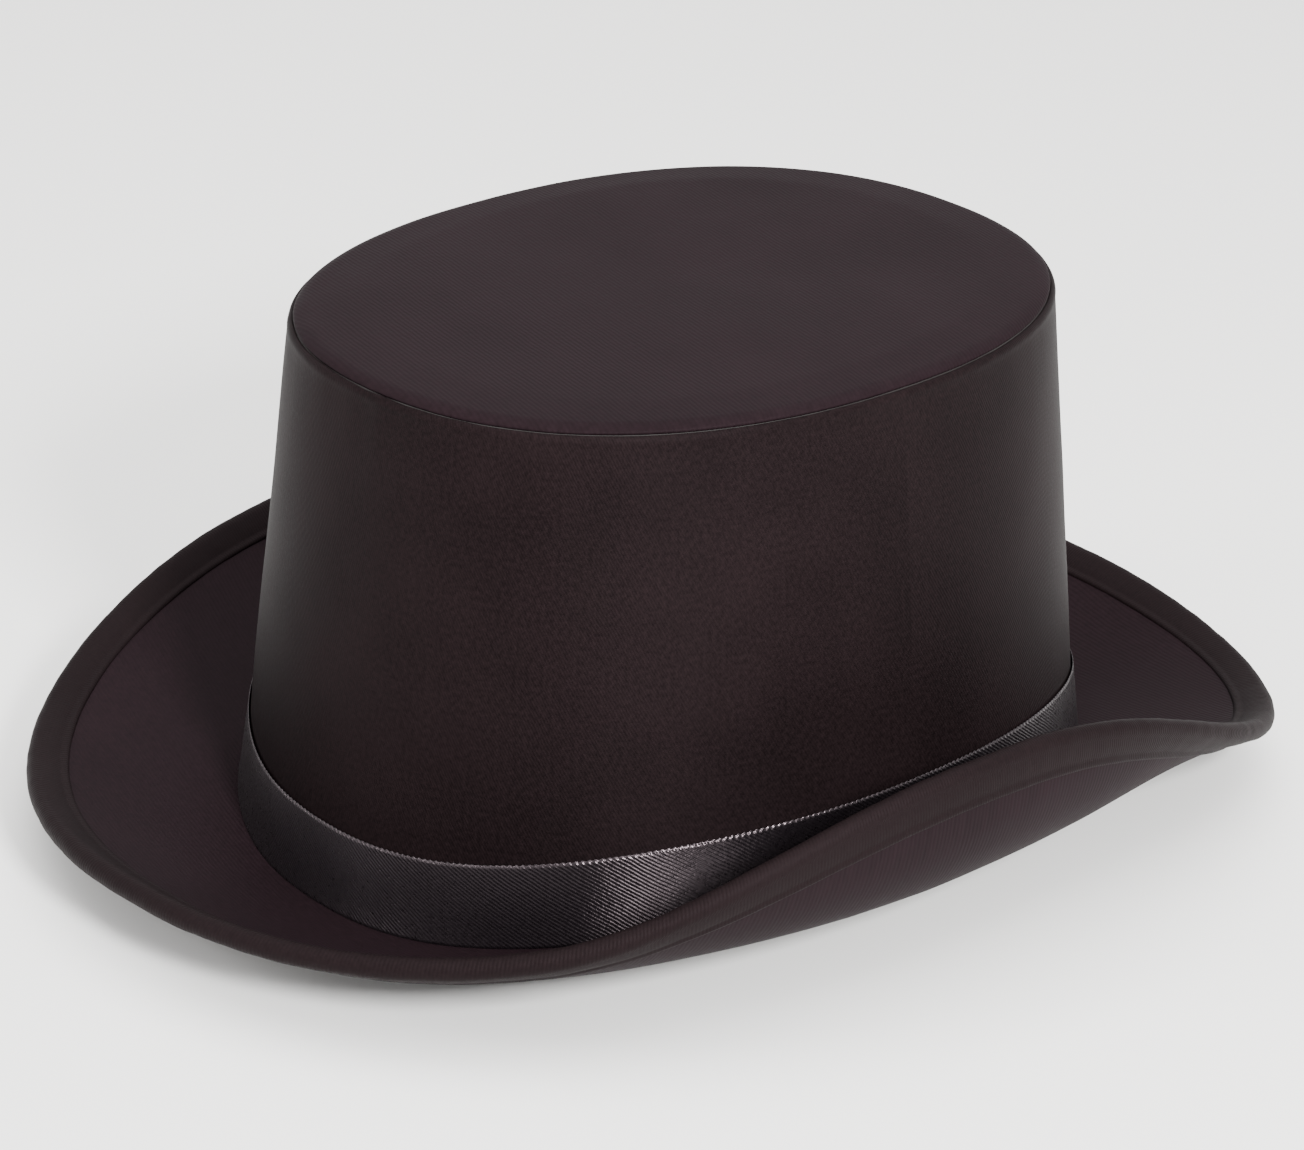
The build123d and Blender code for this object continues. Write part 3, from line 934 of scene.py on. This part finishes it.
class HAT_OT_stage(bpy.types.Operator):
    """Pale table, soft lights and the camera"""

    bl_idname = "hat.stage"
    bl_label = "Stage"

    def execute(self, context):
        half, low = 4.0, -TABLE_DROP
        corners = [(-half, -half), (half, -half), (half, half), (-half, half)]
        table = add_mesh("table", [(x, y, low) for x, y in corners], [(0, 1, 2, 3)],
                         [(x + half, y + half) for x, y in corners], table_paint())
        world = bpy.data.worlds.new("studio")
        world.use_nodes = True
        world.node_tree.nodes["Background"].inputs["Color"].default_value = (1, 1, 1, 1)
        world.node_tree.nodes["Background"].inputs["Strength"].default_value = 1.4
        context.scene.world = world
        self.light("overhead_softbox", (0.1, 0.0, 1.7), 1.8, 42.0)
        self.light("key_softbox", (1.14, -0.4, 0.8), 0.24, 44.0)
        self.light("left_softbox", (-0.55, -1.36, 0.9), 0.4, 8.0)
        self.camera(context)
        return {"FINISHED"}

    def light(self, name, where, width, power):
        """Square softbox that faces the crown."""
        data = bpy.data.lights.new(name, "AREA")
        data.size = width
        data.energy = power
        lamp = bpy.data.objects.new(name, data)
        lamp.location = where
        aim = Vector((0, 0, 0.07)) - Vector(where)
        lamp.rotation_euler = aim.to_track_quat("-Z", "Y").to_euler()
        bpy.context.scene.collection.objects.link(lamp)

    def camera(self, context):
        """Long lens from the wearer's front left, a little above the crown."""
        azimuth, elevation, roll = math.radians(48), math.radians(25.06), math.radians(1.5)
        away, lens, sensor = 1.0, 114.8, 36.0
        back = Vector((math.sin(azimuth) * math.cos(elevation), -math.cos(azimuth) * math.cos(elevation),
                       math.sin(elevation)))
        right = Vector((math.cos(azimuth), math.sin(azimuth), 0))
        up = back.cross(right)
        side = right * math.cos(roll) + up * math.sin(roll)
        above = up * math.cos(roll) - right * math.sin(roll)
        target = right * -0.0042 + Vector((0, 0, 0.0551))
        data = bpy.data.cameras.new("camera")
        data.lens = lens
        data.sensor_width = sensor
        data.sensor_fit = "HORIZONTAL"
        camera = bpy.data.objects.new("camera", data)
        matrix = camera.matrix_world
        for row in range(3):
            matrix[row][0] = side[row]
            matrix[row][1] = above[row]
            matrix[row][2] = back[row]
            matrix[row][3] = (target + back * away)[row]
        camera.matrix_world = matrix
        context.scene.collection.objects.link(camera)
        context.scene.camera = camera


class HAT_PT_panel(bpy.types.Panel):
    """The hat's pieces and the stage"""

    bl_label = "Top hat"
    bl_idname = "HAT_PT_panel"
    bl_space_type = "VIEW_3D"
    bl_region_type = "UI"
    bl_category = "Top hat"

    def draw(self, context):
        for operator in OPERATORS:
            self.layout.operator(operator.bl_idname)
        for group in (context.scene.hat_sizes, context.scene.hat_colours):
            for name in group.__annotations__:
                self.layout.prop(group, name)


OPERATORS = (
    HAT_OT_stage,
    HAT_OT_stiffening,
    HAT_OT_crown_side,
    HAT_OT_crown_tip,
    HAT_OT_brim_faces,
    HAT_OT_rim_binding,
    HAT_OT_hat_band,
    HAT_OT_lining,
    HAT_OT_sweatband,
)
CLASSES = (HatSizes, HatColours, *OPERATORS, HAT_PT_panel)


def register():
    for item in CLASSES:
        bpy.utils.register_class(item)
    bpy.types.Scene.hat_sizes = PointerProperty(type=HatSizes)
    bpy.types.Scene.hat_colours = PointerProperty(type=HatColours)


def unregister():
    del bpy.types.Scene.hat_colours
    del bpy.types.Scene.hat_sizes
    for item in reversed(CLASSES):
        bpy.utils.unregister_class(item)


def main():
    register()
    for operator in OPERATORS:
        family, name = operator.bl_idname.split(".")
        getattr(getattr(bpy.ops, family), name)()


if __name__ == "__main__":
    main()
